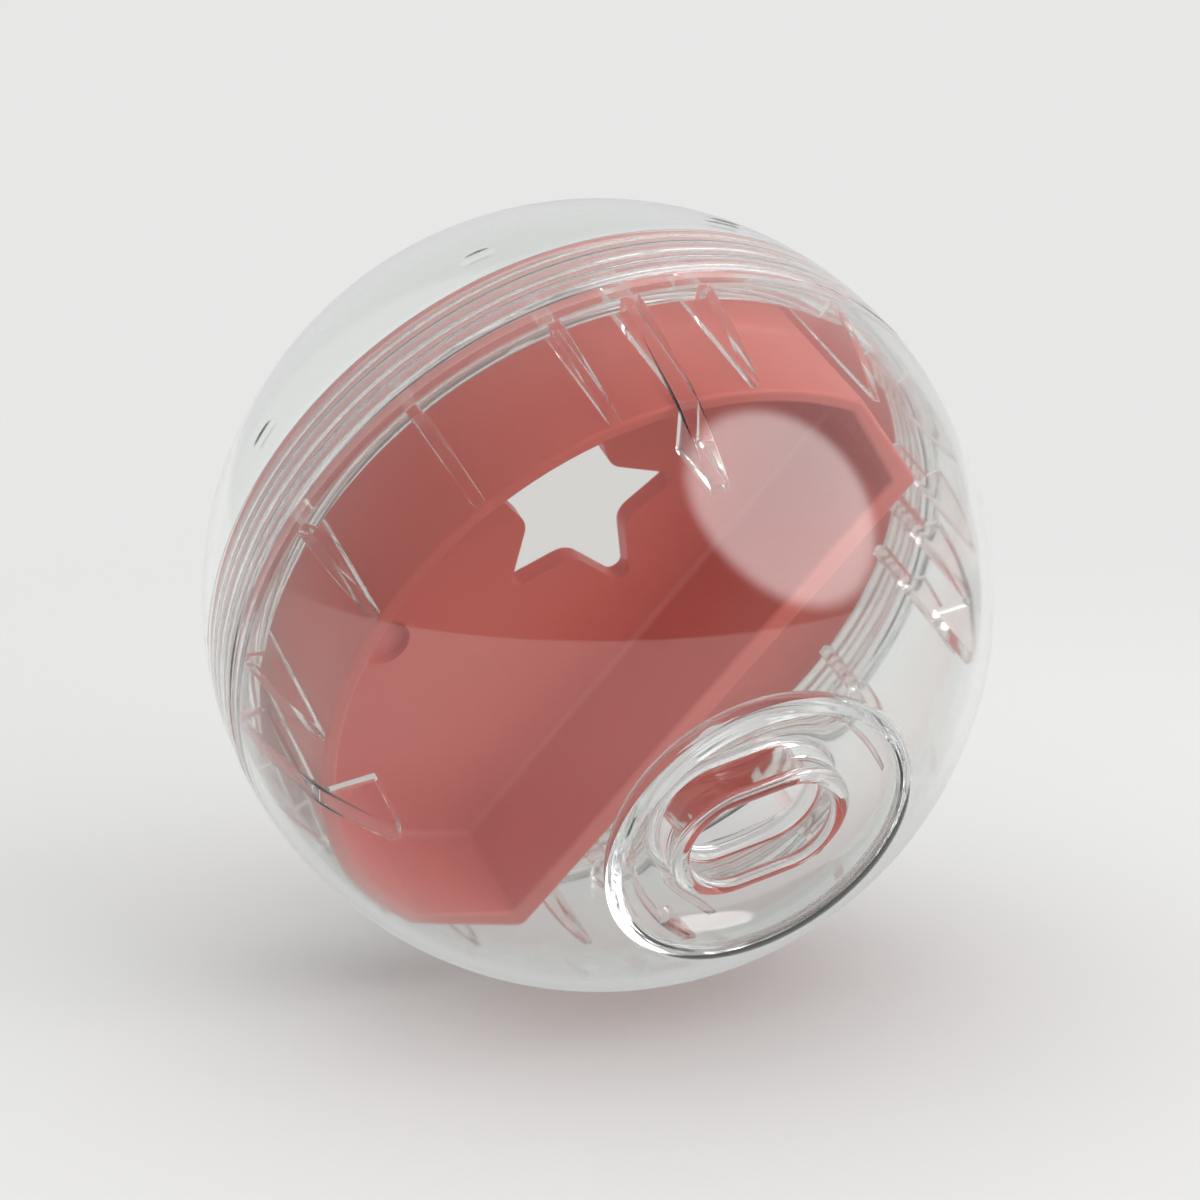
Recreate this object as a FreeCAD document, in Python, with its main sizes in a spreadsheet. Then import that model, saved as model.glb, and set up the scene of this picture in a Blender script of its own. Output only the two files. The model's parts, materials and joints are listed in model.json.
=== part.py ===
import FreeCAD, Part
import Sketcher
import math
import os

# Treat ball: a clear ball in two halves that screw together, with a coloured divider held between them.
# Frame: millimetres, +Z up, origin on the floor straight under the ball's middle. The ball's own axis runs through the
# middle of the outlet, which points forwards (-Y) and dips below the horizontal.
# Each piece is drawn about that axis with the ball's middle as origin: heights grow towards the outlet.

SIZES = {
    # the closed ball
    "ball_radius": 62.5,
    "wall": 2.0,
    "outlet_dip_angle": 27.0,
    # the joint between the halves
    "shoulder_height": 3.0,
    "shoulder_gap": 0.2,
    "bore_inset": 0.9,
    "screw_clearance": 0.3,
    "neck_wall": 1.8,
    "neck_length": 13.4,
    "flange_height": 2.2,
    # the dished end with the outlet
    "land_radius": 24.0,
    "land_width": 1.4,
    "dish_drop": 0.6,
    "dish_radius": 6.5,
    "dish_wall": 2.0,
    "hole_length": 23.0,
    "hole_width": 15.0,
    "spout_wall": 3.0,
    "lip_drop": 0.2,
    "lip_round": 1.3,
    "spout_foot_round": 0.9,
    "spout_turn": 16.4,
    # the ribs inside the outlet half
    "rib_count": 16,
    "rib_thickness": 1.9,
    "rib_depth": 2.2,
    "rib_setback": 6.4,
    "post_count": 4,
    "post_thickness": 3.0,
    "ledge_height": 24.7,
    "ledge_reach": 8.1,
    "foot_height": 11.05,
    # the finger marks round the screw half
    "grip_count": 9,
    "grip_turn": 35.4,
    "grip_height": 15.6,
    "grip_length": 8.0,
    "grip_width": 3.0,
    "grip_depth": 0.3,
    # the divider
    "rib_clearance": 0.4,
    "seat_clearance": 0.3,
    "divider_turn": -29.6,
    "divider_depth": 30.9,
    "plate_thickness": 2.2,
    "collar_clearance": 0.3,
    "collar_wall": 2.0,
    "collar_height": 8.0,
    "skirt_wall": 2.2,
    "skirt_setback": 9.0,
    "vane_offset": 7.3,
    "vane_wall": 4.1,
    "vane_end_gap": 5.27,
    "end_wall": 2.1,
    "pocket_depth": 19.1,
    "floor_thickness": 3.2,
    "corner_round": 1.5,
    "edge_round": 0.7,
    "floor_round": 1.2,
    # the star that the treats fall through
    "star_points": 5,
    "star_tip_radius": 16.7,
    "star_valley_radius": 8.0,
    "star_stretch_ratio": 1.3,
    "star_turn": -22.0,
    "star_inset": 27.7,
    "star_bearing_angle": 146.8,
    "star_tip_round": 1.6,
    "star_valley_round": 3.6,
    # the round recess beside it
    "recess_radius": 4.2,
    "recess_depth": 1.8,
    "recess_inset": 13.68,
    "recess_bearing_angle": 210.0,
}

TOLERANCE = 1e-4
UP = FreeCAD.Vector(0, 0, 1)

# how a sketch's constraints call the ends of an element, and the sketch's own origin and axes
START, FINISH, CENTRE = 1, 2, 3
ORIGIN = (-1, 1)
X_AXIS, Y_AXIS = -1, -2


class Size:
    """A dimension, as the expression that gives it from the sheet and as its value."""

    def __init__(self, text, value):
        self.text = text
        self.value = value

    def __add__(self, other):
        return Size(f"({self.text} + {other.text})", self.value + other.value)

    def __sub__(self, other):
        return Size(f"({self.text} - {other.text})", self.value - other.value)

    def __mul__(self, other):
        return Size(f"({self.text} * {other.text})", self.value * other.value)

    def __truediv__(self, other):
        return Size(f"({self.text} / {other.text})", self.value / other.value)

    def __neg__(self):
        return Size(f"(-{self.text})", -self.value)


def plain(number):
    """A number that is no dimension, such as the 2 in a half."""
    return Size(f"{number}", float(number))


def leg(hypotenuse, side):
    """The other leg of a right triangle: how far out a sphere reaches at a height."""
    value = math.sqrt(hypotenuse.value ** 2 - side.value ** 2)
    return Size(f"sqrt({hypotenuse.text} ^ 2 - {side.text} ^ 2)", value)


def cosine(degrees):
    return Size(f"cos({degrees.text} * 1 deg)", math.cos(math.radians(degrees.value)))


def sine(degrees):
    return Size(f"sin({degrees.text} * 1 deg)", math.sin(math.radians(degrees.value)))


ZERO = plain(0)
TWO = plain(2)
FULL_TURN = plain(360)

doc = FreeCAD.newDocument("TreatBall")
sheet = doc.addObject("Spreadsheet::Sheet", "Sizes")
for row, (alias, number) in enumerate(SIZES.items(), start=1):
    sheet.set(f"A{row}", alias)
    sheet.set(f"B{row}", f"{number}")
    sheet.setAlias(f"B{row}", alias)
doc.recompute()


def size(alias):
    return Size(f"Sizes.{alias}", float(getattr(sheet, alias)))


def new_body(name):
    body = doc.addObject("PartDesign::Body", name)
    body.Label = name
    return body


def origin_part(body, role):
    return next(part for part in body.Origin.OriginFeatures if part.Role == role)


def new_sketch(body, name, role, lift=None, turn=None, turn_axis=UP):
    """A sketch on one of the body's own planes, lifted off it and turned by sizes from the sheet."""
    sketch = body.newObject("Sketcher::SketchObject", name)
    sketch.AttachmentSupport = [(origin_part(body, role), "")]
    sketch.MapMode = "FlatFace"
    if turn is not None:
        sketch.AttachmentOffset = FreeCAD.Placement(FreeCAD.Vector(), FreeCAD.Rotation(turn_axis, turn.value))
        sketch.setExpression("AttachmentOffset.Rotation.Angle", turn.text)
    for letter, shift in zip("xyz", lift or ()):
        if shift is not ZERO:
            sketch.setExpression(f"AttachmentOffset.Base.{letter}", shift.text)
    return sketch


def dimension(sketch, kind, size_wanted, *elements):
    """A constraint of the sketch whose value follows the sheet."""
    number = sketch.addConstraint(Sketcher.Constraint(kind, *elements, size_wanted.value))
    sketch.setExpression(f"Constraints[{number}]", size_wanted.text)


def place_point(sketch, element, end, x, y):
    """Fixes the end of an element at (x, y) in the sketch."""
    for kind, axis, where in (("DistanceX", Y_AXIS, x), ("DistanceY", X_AXIS, y)):
        if where is ZERO:
            sketch.addConstraint(Sketcher.Constraint("PointOnObject", element, end, axis))
        else:
            dimension(sketch, kind, where, *ORIGIN, element, end)


def draw_outline(sketch, corners):
    """A closed outline. Each corner is (x, y) or (x, y, radius, centre, clockwise), where the last three are of the
    arc that runs from it to the next corner."""
    first_end = []
    for corner, following in zip(corners, corners[1:] + corners[:1]):
        here = FreeCAD.Vector(corner[0].value, corner[1].value, 0)
        there = FreeCAD.Vector(following[0].value, following[1].value, 0)
        if len(corner) == 2:
            element = sketch.addGeometry(Part.LineSegment(here, there))
            first_end.append((element, START, FINISH))
        else:
            radius, centre, clockwise = corner[2:]
            middle = FreeCAD.Vector(centre[0].value, centre[1].value, 0)
            ends = (there, here) if clockwise else (here, there)
            angles = [math.atan2(end.y - middle.y, end.x - middle.x) for end in ends]
            circle = Part.Circle(middle, UP, radius.value)
            element = sketch.addGeometry(Part.ArcOfCircle(circle, *angles))
            dimension(sketch, "Radius", radius, element)
            first_end.append((element, FINISH, START) if clockwise else (element, START, FINISH))
    for (element, near, _), (before, _, far), corner in zip(first_end, first_end[-1:] + first_end[:-1], corners):
        sketch.addConstraint(Sketcher.Constraint("Coincident", before, far, element, near))
        place_point(sketch, element, near, corner[0], corner[1])


def draw_slot(sketch, length, width):
    """A slot centred on the sketch's origin, with round ends, its length along X."""
    radius = width / TWO
    reach = (length - width) / TWO
    middle = FreeCAD.Vector(reach.value, 0, 0)
    rise = UP.cross(middle).normalize() * radius.value
    quarter_turn = math.pi / 2
    right = sketch.addGeometry(Part.ArcOfCircle(Part.Circle(middle, UP, radius.value), -quarter_turn, quarter_turn))
    upper = sketch.addGeometry(Part.LineSegment(middle + rise, -middle + rise))
    left = sketch.addGeometry(Part.ArcOfCircle(Part.Circle(-middle, UP, radius.value), quarter_turn, -quarter_turn))
    lower = sketch.addGeometry(Part.LineSegment(-middle - rise, middle - rise))
    for before, after in ((right, upper), (upper, left), (left, lower), (lower, right)):
        sketch.addConstraint(Sketcher.Constraint("Tangent", before, FINISH, after, START))
    sketch.addConstraint(Sketcher.Constraint("Equal", right, left))
    for end in (right, left):
        sketch.addConstraint(Sketcher.Constraint("PointOnObject", end, CENTRE, X_AXIS))
    dimension(sketch, "DistanceX", reach, *ORIGIN, right, CENTRE)
    dimension(sketch, "DistanceX", reach, left, CENTRE, *ORIGIN)
    dimension(sketch, "Radius", radius, right)


def draw_circle(sketch, radius):
    element = sketch.addGeometry(Part.Circle(FreeCAD.Vector(), UP, radius.value))
    sketch.addConstraint(Sketcher.Constraint("Coincident", element, CENTRE, *ORIGIN))
    dimension(sketch, "Radius", radius, element)


built_volume = {}


def finish_feature(body, feature, grows):
    """Recomputes, and sees that the feature added or took away material."""
    body.Tip = feature
    doc.recompute()
    gained = feature.Shape.Volume - built_volume.get(body.Name, 0.0)
    if (gained > 0) != grows or abs(gained) < TOLERANCE:
        raise RuntimeError(f"{feature.Name} changed the volume of {body.Name} by {gained}")
    built_volume[body.Name] = feature.Shape.Volume
    return feature


def revolve(body, name, sketch):
    feature = body.newObject("PartDesign::Revolution", name)
    feature.Profile = sketch
    feature.ReferenceAxis = (sketch, ["V_Axis"])
    feature.Angle = FULL_TURN.value
    sketch.Visibility = False
    return finish_feature(body, feature, True)


def pad(body, name, sketch, length, both_sides=False):
    feature = body.newObject("PartDesign::Pad", name)
    feature.Profile = sketch
    feature.SideType = "Symmetric" if both_sides else "One side"
    feature.setExpression("Length", length.text)
    return finish_feature(body, feature, True)


def pocket(body, name, sketch, depth=None):
    """Cuts down from the sketch, by the depth or through everything."""
    feature = body.newObject("PartDesign::Pocket", name)
    feature.Profile = sketch
    if depth is None:
        feature.Type = "ThroughAll"
    else:
        feature.setExpression("Length", depth.text)
    return finish_feature(body, feature, False)


def repeat_round(body, name, feature, count, grows):
    """Repeats a feature round the ball's axis."""
    pattern = body.newObject("PartDesign::PolarPattern", name)
    pattern.Originals = [feature]
    pattern.Axis = (origin_part(body, "Z_Axis"), [""])
    pattern.Angle = FULL_TURN.value
    pattern.setExpression("Occurrences", count.text)
    return finish_feature(body, pattern, grows)


def fillet(body, name, base, wanted, radius):
    """Rounds the base feature's edges for which wanted(edge) is true."""
    names = [f"Edge{number}" for number, edge in enumerate(base.Shape.Edges, start=1) if wanted(edge)]
    if not names:
        raise RuntimeError(f"{name} found no edges")
    feature = body.newObject("PartDesign::Fillet", name)
    feature.Base = (base, names)
    feature.setExpression("Radius", radius.text)
    body.Tip = feature
    doc.recompute()
    built_volume[body.Name] = feature.Shape.Volume
    return feature


def lies_flat_at(edge, height):
    """Whether the whole edge lies at this height."""
    box = edge.BoundBox
    return abs(box.ZMin - height.value) < TOLERANCE and abs(box.ZMax - height.value) < TOLERANCE


def upright_at(points):
    """Picks the edges that run along the ball's axis through one of these points."""

    def wanted(edge):
        box = edge.BoundBox
        near = any(math.hypot(box.Center.x - point.x, box.Center.y - point.y) < TOLERANCE for point in points)
        return near and box.XLength < TOLERANCE and box.YLength < TOLERANCE
    return wanted


def as_points(corners):
    return [FreeCAD.Vector(corner[0].value, corner[1].value, 0) for corner in corners]


# sizes that more than one piece is built to
ball_radius = size("ball_radius")
inner_radius = ball_radius - size("wall")
middle_radius = ball_radius - size("wall") / TWO
shoulder = size("shoulder_height")
cap_bore = inner_radius - size("bore_inset")
neck_outer = cap_bore - size("screw_clearance")
neck_inner = neck_outer - size("neck_wall")
neck_middle = neck_outer - size("neck_wall") / TWO
neck_end = shoulder - size("neck_length")
rib_inner = neck_inner - size("rib_depth")
rib_start = neck_end + size("rib_setback")
ledge = size("ledge_height")
BALL_MIDDLE = (ZERO, ZERO)


def make_outlet_bowl():
    """The outlet half: a dome with a dished end, a spout in the dish, a neck that screws into the cap, and ribs that
    guide and carry the divider."""
    body = new_body("outlet_bowl")
    land_radius = size("land_radius")
    land = leg(ball_radius, land_radius)
    dish_rim = land_radius - size("land_width")
    dish_radius = size("dish_radius")
    dish_centre = (dish_rim - dish_radius, land - size("dish_drop"))
    dish_floor = dish_centre[1] - dish_radius
    under_radius = dish_radius + size("dish_wall")
    under_floor = dish_centre[1] - under_radius
    # where the underside of the dish runs into the dome's inner face
    reach = Size(f"sqrt({dish_centre[0].text} ^ 2 + {dish_centre[1].text} ^ 2)",
                 math.hypot(dish_centre[0].value, dish_centre[1].value))
    along = (inner_radius * inner_radius - under_radius * under_radius + reach * reach) / (TWO * reach)
    across = leg(inner_radius, along)
    meet = ((dish_centre[0] * along + dish_centre[1] * across) / reach,
            (dish_centre[1] * along - dish_centre[0] * across) / reach)
    flange_top = shoulder + size("flange_height")

    section = new_sketch(body, "dome_section", "XZ_Plane")
    draw_outline(section, [
        (leg(ball_radius, shoulder), shoulder, ball_radius, BALL_MIDDLE, False),
        (land_radius, land),
        (dish_rim, land),
        (dish_rim, dish_centre[1], dish_radius, dish_centre, True),
        (dish_centre[0], dish_floor),
        (ZERO, dish_floor),
        (ZERO, under_floor),
        (dish_centre[0], under_floor, under_radius, dish_centre, False),
        (*meet, inner_radius, BALL_MIDDLE, True),
        (leg(inner_radius, flange_top), flange_top),
        (neck_inner, flange_top),
        (neck_inner, neck_end),
        (neck_outer, neck_end),
        (neck_outer, shoulder),
    ])
    revolve(body, "dome", section)

    lip = land - size("lip_drop")
    spout_wall = size("spout_wall")
    spout_turn = size("spout_turn")
    tube_outline = new_sketch(body, "spout_outline", "XY_Plane", (ZERO, ZERO, under_floor), spout_turn)
    draw_slot(tube_outline, size("hole_length") + spout_wall * TWO, size("hole_width") + spout_wall * TWO)
    tube = pad(body, "spout", tube_outline, lip - under_floor)
    hole_outline = new_sketch(body, "outlet_outline", "XY_Plane", (ZERO, ZERO, lip), spout_turn)
    draw_slot(hole_outline, size("hole_length"), size("hole_width"))
    hole = pocket(body, "outlet", hole_outline)
    lip_edge = fillet(body, "spout_lip", hole, lambda edge: lies_flat_at(edge, lip), size("lip_round"))

    def at_spout_foot(edge):
        box = edge.BoundBox
        return lies_flat_at(edge, dish_floor) and max(box.XLength, box.YLength) < TWO.value * dish_centre[0].value

    fillet(body, "spout_foot", lip_edge, at_spout_foot, size("spout_foot_round"))

    wall_reach = leg(middle_radius, rib_inner)
    rib_outline = new_sketch(body, "rib_outline", "XZ_Plane")
    draw_outline(rib_outline, [
        (rib_inner, rib_start),
        (neck_middle, rib_start),
        (neck_middle, flange_top),
        (leg(middle_radius, flange_top), flange_top, middle_radius, BALL_MIDDLE, False),
        (rib_inner, wall_reach),
    ])
    rib = pad(body, "rib", rib_outline, size("rib_thickness"), both_sides=True)
    repeat_round(body, "ribs", rib, size("rib_count"), True)

    foot_end = ledge + size("foot_height")
    between_ribs = FULL_TURN / (TWO * size("rib_count"))
    post_outline = new_sketch(body, "post_outline", "XZ_Plane", None, between_ribs, FreeCAD.Vector(0, 1, 0))
    draw_outline(post_outline, [
        (rib_inner, rib_start),
        (neck_middle, rib_start),
        (neck_middle, flange_top),
        (leg(middle_radius, flange_top), flange_top, middle_radius, BALL_MIDDLE, False),
        (leg(middle_radius, foot_end), foot_end),
        (rib_inner - size("ledge_reach"), foot_end),
        (rib_inner - size("ledge_reach"), ledge),
        (rib_inner, ledge),
    ])
    post = pad(body, "post", post_outline, size("post_thickness"), both_sides=True)
    repeat_round(body, "posts", post, size("post_count"), True)
    return body


def make_screw_cap():
    """The screw half: a plain dome whose mouth takes the neck, with a ring of shallow finger marks."""
    body = new_body("screw_cap")
    mouth = shoulder - size("shoulder_gap")
    section = new_sketch(body, "cap_section", "XZ_Plane")
    draw_outline(section, [
        (ZERO, -ball_radius, ball_radius, BALL_MIDDLE, False),
        (leg(ball_radius, mouth), mouth),
        (cap_bore, mouth),
        (cap_bore, -leg(inner_radius, cap_bore), inner_radius, BALL_MIDDLE, True),
        (ZERO, -inner_radius),
    ])
    revolve(body, "cap_dome", section)

    # each mark is the shallow hollow that an ellipsoid on the dome's skin leaves
    height = -size("grip_height")
    out = leg(ball_radius, size("grip_height"))
    angle = math.radians(size("grip_turn").value)
    outward = FreeCAD.Vector(math.cos(angle), math.sin(angle), 0)
    place = outward * out.value + FreeCAD.Vector(0, 0, height.value)
    along = FreeCAD.Vector(-math.sin(angle), math.cos(angle), 0)
    facing = FreeCAD.Rotation(along, place.cross(along), place, "ZXY")
    mark = body.newObject("PartDesign::SubtractiveEllipsoid", "grip")
    mark.AttachmentSupport = [(origin_part(body, "XY_Plane"), "")]
    mark.MapMode = "FlatFace"
    mark.AttachmentOffset = FreeCAD.Placement(place, facing)
    mark.setExpression("Radius1", size("grip_depth").text)
    mark.setExpression("Radius2", (size("grip_length") / TWO).text)
    mark.setExpression("Radius3", (size("grip_width") / TWO).text)
    finish_feature(body, mark, False)
    repeat_round(body, "grips", mark, size("grip_count"), False)
    return body


def make_divider():
    """The divider: a round plate whose collar slides into the neck, with a raised pocket on one side, walled in by a
    skirt and a straight vane. Its own X runs square to the vane, out of the pocket, and its own Y along the vane."""
    body = new_body("divider")
    rim = rib_inner - size("rib_clearance")
    edge = ledge - size("seat_clearance")
    back = edge - size("divider_depth")
    plate_thickness = size("plate_thickness")
    setback = size("skirt_setback")
    vane_inner = size("vane_offset")
    vane_outer = vane_inner + size("vane_wall")
    vane_end = leg(rim - size("vane_end_gap"), vane_outer)
    floor = edge - size("pocket_depth")
    under_floor = floor - size("floor_thickness")

    collar = neck_inner - size("collar_clearance")
    collar_inner = collar - size("collar_wall")
    plate_top = back + plate_thickness
    collar_end = plate_top - size("collar_height")
    section = new_sketch(body, "plate_section", "XZ_Plane")
    draw_outline(section, [
        (ZERO, back),
        (collar_inner, back),
        (collar_inner, collar_end),
        (collar, collar_end),
        (collar, plate_top),
        (ZERO, plate_top),
    ])
    revolve(body, "plate", section)

    outside = [
        (-setback, leg(rim, setback), rim, BALL_MIDDLE, False),
        (-setback, -leg(rim, setback)),
        (vane_outer, -vane_end),
        (vane_outer, vane_end),
    ]
    block_outline = new_sketch(body, "pocket_outside", "XY_Plane", (ZERO, ZERO, back))
    draw_outline(block_outline, outside)
    pad(body, "pocket_block", block_outline, size("divider_depth"))

    skirt_inner = rim - size("skirt_wall")
    inner_end = vane_end - size("end_wall")
    inside = [
        (-setback, leg(skirt_inner, setback), skirt_inner, BALL_MIDDLE, False),
        (-setback, -leg(skirt_inner, setback)),
        (vane_inner, -inner_end),
        (vane_inner, inner_end),
    ]
    front = new_sketch(body, "pocket_inside", "XY_Plane", (ZERO, ZERO, edge))
    draw_outline(front, inside)
    hollowed = pocket(body, "pocket", front, size("pocket_depth"))
    corners_rounded = fillet(body, "wall_corners", hollowed, upright_at(as_points(outside + inside)),
                             size("corner_round"))
    tops_rounded = fillet(body, "wall_tops", corners_rounded, lambda seen: lies_flat_at(seen, edge),
                          size("edge_round"))
    fillet(body, "floor_corner", tops_rounded, lambda seen: lies_flat_at(seen, floor), size("floor_round"))
    behind = new_sketch(body, "hollow_behind", "XY_Plane", (ZERO, ZERO, under_floor))
    draw_outline(behind, inside)
    pocket(body, "hollow", behind, under_floor - back)

    recess_reach = skirt_inner - size("recess_inset")
    recess_bearing = size("recess_bearing_angle")
    dimple = new_sketch(body, "recess_outline", "XY_Plane",
                        (recess_reach * cosine(recess_bearing), recess_reach * sine(recess_bearing), floor))
    draw_circle(dimple, size("recess_radius"))
    pocket(body, "recess", dimple, size("recess_depth"))

    star_reach = skirt_inner - size("star_inset")
    star_bearing = size("star_bearing_angle")
    star = new_sketch(body, "star_outline", "XY_Plane",
                      (star_reach * cosine(star_bearing), star_reach * sine(star_bearing), floor), size("star_turn"))
    step = FULL_TURN / (TWO * size("star_points"))
    corners = []
    for number in range(2 * round(size("star_points").value)):
        radius = size("star_valley_radius") if number % 2 else size("star_tip_radius")
        angle = step * plain(number)
        x = radius * cosine(angle) * size("star_stretch_ratio")
        y = radius * sine(angle) if number % round(size("star_points").value) else ZERO
        corners.append((x, y))
    draw_outline(star, corners)
    hole = pocket(body, "star", star)
    placed = [star.Placement.multVec(point) for point in as_points(corners)]
    valleys = fillet(body, "star_valleys", hole, upright_at(placed[1::2]), size("star_valley_round"))
    fillet(body, "star_tips", valleys, upright_at(placed[::2]), size("star_tip_round"))
    return body


outlet_bowl = make_outlet_bowl()
screw_cap = make_screw_cap()
divider = make_divider()

# the ball's axis points forwards and down, and the divider is turned about it in its ribs
quarter_turn = 90.0
tip_over = FreeCAD.Rotation(FreeCAD.Vector(1, 0, 0), quarter_turn + size("outlet_dip_angle").value)
turned = FreeCAD.Rotation(FreeCAD.Vector(0, 0, 1), size("divider_turn").value)
middle = FreeCAD.Vector(0, 0, ball_radius.value)
outlet_bowl.Placement = FreeCAD.Placement(middle, tip_over)
screw_cap.Placement = FreeCAD.Placement(middle, tip_over)
divider.Placement = FreeCAD.Placement(middle, tip_over * turned)
doc.recompute()

for item in doc.Objects:
    if "Invalid" in item.State or "Error" in item.State:
        raise RuntimeError(f"{item.Name} could not be built: {item.State}")
os.makedirs("parts", exist_ok=True)
for body in (outlet_bowl, screw_cap, divider):
    if body.Shape.isNull() or not body.Shape.isValid():
        raise RuntimeError(f"{body.Label} has no valid shape")
    body.Shape.exportStep(f"parts/{body.Label}.step")
    box = body.Shape.BoundBox
    print(body.Label, len(body.Shape.Solids), round(body.Shape.Volume), box)
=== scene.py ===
"""Treat ball: two clear halves that screw together over a coral divider, on a pale studio floor."""

import json
import math

import bmesh
import bpy
from mathutils import Matrix, Vector


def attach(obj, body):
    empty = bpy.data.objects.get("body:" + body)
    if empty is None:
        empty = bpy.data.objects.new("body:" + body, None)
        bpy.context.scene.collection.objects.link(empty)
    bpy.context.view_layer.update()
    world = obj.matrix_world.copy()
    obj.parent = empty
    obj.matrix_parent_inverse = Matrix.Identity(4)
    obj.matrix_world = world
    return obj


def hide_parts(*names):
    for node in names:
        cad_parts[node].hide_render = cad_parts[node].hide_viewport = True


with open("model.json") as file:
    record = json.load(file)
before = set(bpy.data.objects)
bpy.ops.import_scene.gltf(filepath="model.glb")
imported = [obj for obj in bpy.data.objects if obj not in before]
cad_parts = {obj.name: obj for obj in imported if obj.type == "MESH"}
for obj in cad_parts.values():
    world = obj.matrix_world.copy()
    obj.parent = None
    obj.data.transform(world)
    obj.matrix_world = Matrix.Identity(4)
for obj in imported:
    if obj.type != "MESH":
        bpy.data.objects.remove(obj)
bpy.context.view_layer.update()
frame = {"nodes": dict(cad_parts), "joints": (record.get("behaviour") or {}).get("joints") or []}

bl_info = {
    "name": "Treat ball",
    "version": (1, 0, 0),
    "blender": (4, 5, 0),
    "location": "View3D > Sidebar > Treat ball",
    "description": "Builds a clear treat ball with its divider, and the studio round it",
    "category": "Object",
}

MM = 0.001
TURN = math.tau
QUARTER = TURN / 4.0

# the screw joint of the record gives the ball's middle and the way its screw axis points
SCREW = next(joint for joint in frame["joints"] if joint["name"] == "unscrew_turn")
BALL_MIDDLE = Vector(SCREW["pos_m"])
OUTLET_WAY = -Vector(SCREW["axis"]).normalized()

# points that are closer than this are one point
TOUCHING = 0.0001 * MM

# two faces that meet at more than this have a crisp edge between them
CREASE = math.radians(32.0)

# a plate is bevelled wherever two of its faces meet at more than this
BEVELLED = math.radians(40.0)

# steps along the arcs of the half sections
OUTLET_DOME_STEPS = 56
OUTLET_LINING_STEPS = 52
SCREW_DOME_STEPS = 96
SCREW_LINING_STEPS = 84
DISH_STEPS = 16
UNDERSIDE_STEPS = 14
FOOT_STEPS = 5
LIP_STEPS = 7
RIB_BACK_STEPS = 14
MARK_STEPS = 48
FLOOR_STEPS = 128
CARD_STEPS = 96

# one turn of thread: share of the pitch, and share of the thread's height there
THREAD_SHAPE = ((0.0, 0.0), (0.25, 0.0), (0.30, 0.12), (0.36, 0.88), (0.40, 1.0), (0.60, 1.0), (0.64, 0.88),
                (0.70, 0.12), (0.75, 0.0))

# the milky zone starts to fade inside the threaded stretch's ends and is gone a little past them
HAZE_WITHIN = 0.5 * MM
HAZE_PAST = 0.9 * MM

# the clear skin's roughness runs between these shares of the one that is set
SMOOTHEST = 0.6
ROUGHEST = 1.8

# how far the floor's tone strays from its colour, as a share
FLOOR_STRAY = 0.015

# cosines of the angle to their pole between which the soft light and the mirrored room change
LIGHT_SPAN = (-0.4, 0.9)
ROOM_SPAN = (-0.2, 0.5)

WHITE = (1.0, 1.0, 1.0)
MIRRORED_PAPER = (1.0, 1.0, 0.99)

# places of the colour sockets in a mix node
MIX_LOW = 6
MIX_HIGH = 7
MIX_RESULT = 2

# the picture's size, and how far its middle stands off the ball's, in pixels
PICTURE = 1200.0
SHIFT_RIGHT = 1.7
SHIFT_UP = -5.0


def length(name, description, default):
    """A length that a user may change, stored in metres and given here in millimetres."""
    return bpy.props.FloatProperty(name=name, description=description, default=default * MM, min=0.0,
                                   unit="LENGTH", subtype="DISTANCE", precision=5)


def tint(name, description, default):
    return bpy.props.FloatVectorProperty(name=name, description=description, default=default, size=3,
                                         min=0.0, max=1.0, subtype="COLOR")


def share(name, description, default):
    return bpy.props.FloatProperty(name=name, description=description, default=default, min=0.0, max=1.0,
                                   subtype="FACTOR")


def bearing(name, description, default):
    """An angle that a user may change, stored in radians and given here in degrees."""
    return bpy.props.FloatProperty(name=name, description=description, default=math.radians(default),
                                   unit="ROTATION", subtype="ANGLE")


def count(name, description, default):
    return bpy.props.IntProperty(name=name, description=description, default=default, min=1)


def strength(name, description, default):
    return bpy.props.FloatProperty(name=name, description=description, default=default, min=0.0)


def index(name, description, default):
    return bpy.props.FloatProperty(name=name, description=description, default=default, min=1.0)


class ShellSizes(bpy.types.PropertyGroup):
    """Sizes that both clear halves share."""
    ball_radius: length("Ball radius", "Radius of the closed ball", 62.48)
    wall: length("Wall", "Thickness of both domes", 2.0)
    steps_round: count("Steps round", "Number of faces round the ball", 288)
    shoulder: length("Shoulder", "Height of the shoulder that the cap screws against", 3.0)
    mouth: length("Cap mouth", "Height of the cap's open edge", 2.8)
    pitch: length("Thread pitch", "Advance of the thread in one turn", 4.1)
    thread_fade: length("Thread fade", "Length over which the thread runs out", 1.2)


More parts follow.
